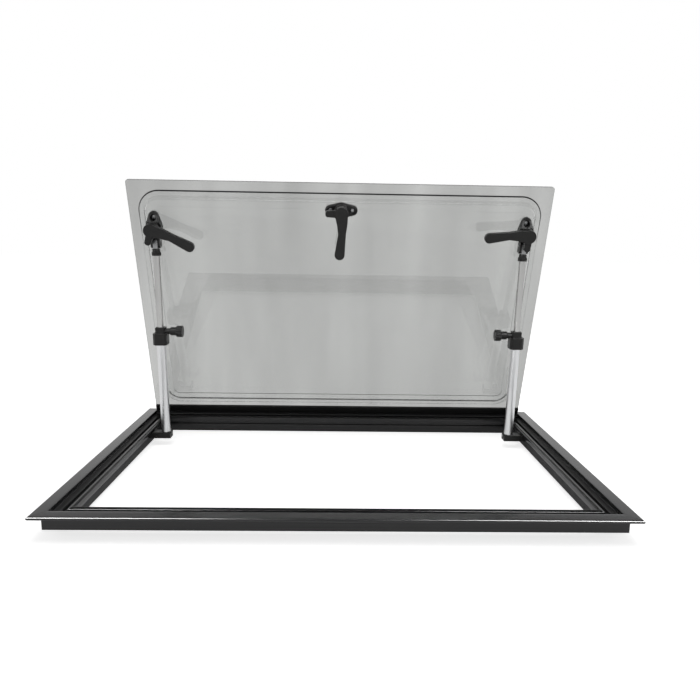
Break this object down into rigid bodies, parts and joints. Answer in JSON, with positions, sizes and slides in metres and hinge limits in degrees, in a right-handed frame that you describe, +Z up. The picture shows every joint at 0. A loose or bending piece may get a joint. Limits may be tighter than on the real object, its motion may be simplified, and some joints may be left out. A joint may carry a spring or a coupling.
{
  "type": "top-hung caravan window",
  "caption": "Top-hung caravan window: mitred black frame, smoked double acrylic pane standing open on two stays, lever latches and clamp knobs.",
  "frame": {"origin": "on the floor, below the middle of the frame's outline, with the frame lying flat and its outer side up", "axes": "+X along the hinge, to the right seen from the latch side; +Y towards the hinge rail; +Z up, out of the vehicle's wall"},
  "size_m": [0.724, 0.474, 0.445],
  "materials": {
    "black_extrusion": "gloss black coated aluminium extrusion",
    "seal_rubber": "soft black rubber, slightly shiny",
    "smoked_acrylic": "clear smoked acrylic, polished",
    "zinc_steel": "bright zinc plated",
    "satin_alloy": "satin anodised aluminium",
    "moulded_black": "moulded black nylon, fine satin grain"
  },
  "bodies": {
    "root": {"sill_rail": "black_extrusion", "hinge_rail": "black_extrusion", "left_stile": "black_extrusion", "right_stile": "black_extrusion", "sill_seal": "seal_rubber", "hinge_seal": "seal_rubber", "left_seal": "seal_rubber", "right_seal": "seal_rubber", "outer_pane": "smoked_acrylic", "inner_pane": "smoked_acrylic", "hinge_strip": "black_extrusion", "hinge_cap_left": "moulded_black", "hinge_cap_right": "moulded_black", "latch_base_left": "moulded_black", "latch_base_right": "moulded_black", "latch_base_centre": "moulded_black", "latch_screws_left": "zinc_steel", "latch_screws_right": "zinc_steel", "latch_screws_centre": "zinc_steel", "stay_foot_left": "moulded_black", "stay_foot_right": "moulded_black", "stay_foot_pin_left": "zinc_steel", "stay_foot_pin_right": "zinc_steel", "stay_eye_left": "moulded_black", "stay_eye_right": "moulded_black", "stay_tube_left": "satin_alloy", "stay_tube_right": "satin_alloy", "stay_collar_left": "moulded_black", "stay_collar_right": "moulded_black", "stay_rod_left": "satin_alloy", "stay_rod_right": "satin_alloy", "stay_fitting_left": "moulded_black", "stay_fitting_right": "moulded_black", "stay_top_pin_left": "zinc_steel", "stay_top_pin_right": "zinc_steel"},
    "lever_left": {"latch_lever_left": "moulded_black"},
    "lever_right": {"latch_lever_right": "moulded_black"},
    "lever_centre": {"latch_lever_centre": "moulded_black"},
    "knob_left": {"clamp_knob_left": "moulded_black"},
    "knob_right": {"clamp_knob_right": "moulded_black"}
  },
  "joints": [
    {"name": "latch_turn_left", "type": "hinge", "parent": "root", "child": "lever_left", "pos_m": [-0.299, 0.08641, 0.36727], "axis": [0, -0.9588, -0.284], "range_deg": [-70, 20]},
    {"name": "latch_turn_right", "type": "hinge", "parent": "root", "child": "lever_right", "pos_m": [0.299, 0.08641, 0.36727], "axis": [0, -0.9588, -0.284], "range_deg": [0, 90]},
    {"name": "latch_turn_centre", "type": "hinge", "parent": "root", "child": "lever_centre", "pos_m": [0, 0.07761, 0.39699], "axis": [0, -0.9588, -0.284], "range_deg": [-90, 0]},
    {"name": "clamp_turn_left", "type": "hinge", "parent": "root", "child": "knob_left", "pos_m": [-0.2822, 0.11302, 0.20067], "axis": [1, 0, 0], "range_deg": [0, 180]},
    {"name": "clamp_turn_right", "type": "hinge", "parent": "root", "child": "knob_right", "pos_m": [0.2822, 0.11302, 0.20067], "axis": [-1, 0, 0], "range_deg": [0, 180]}
  ]
}
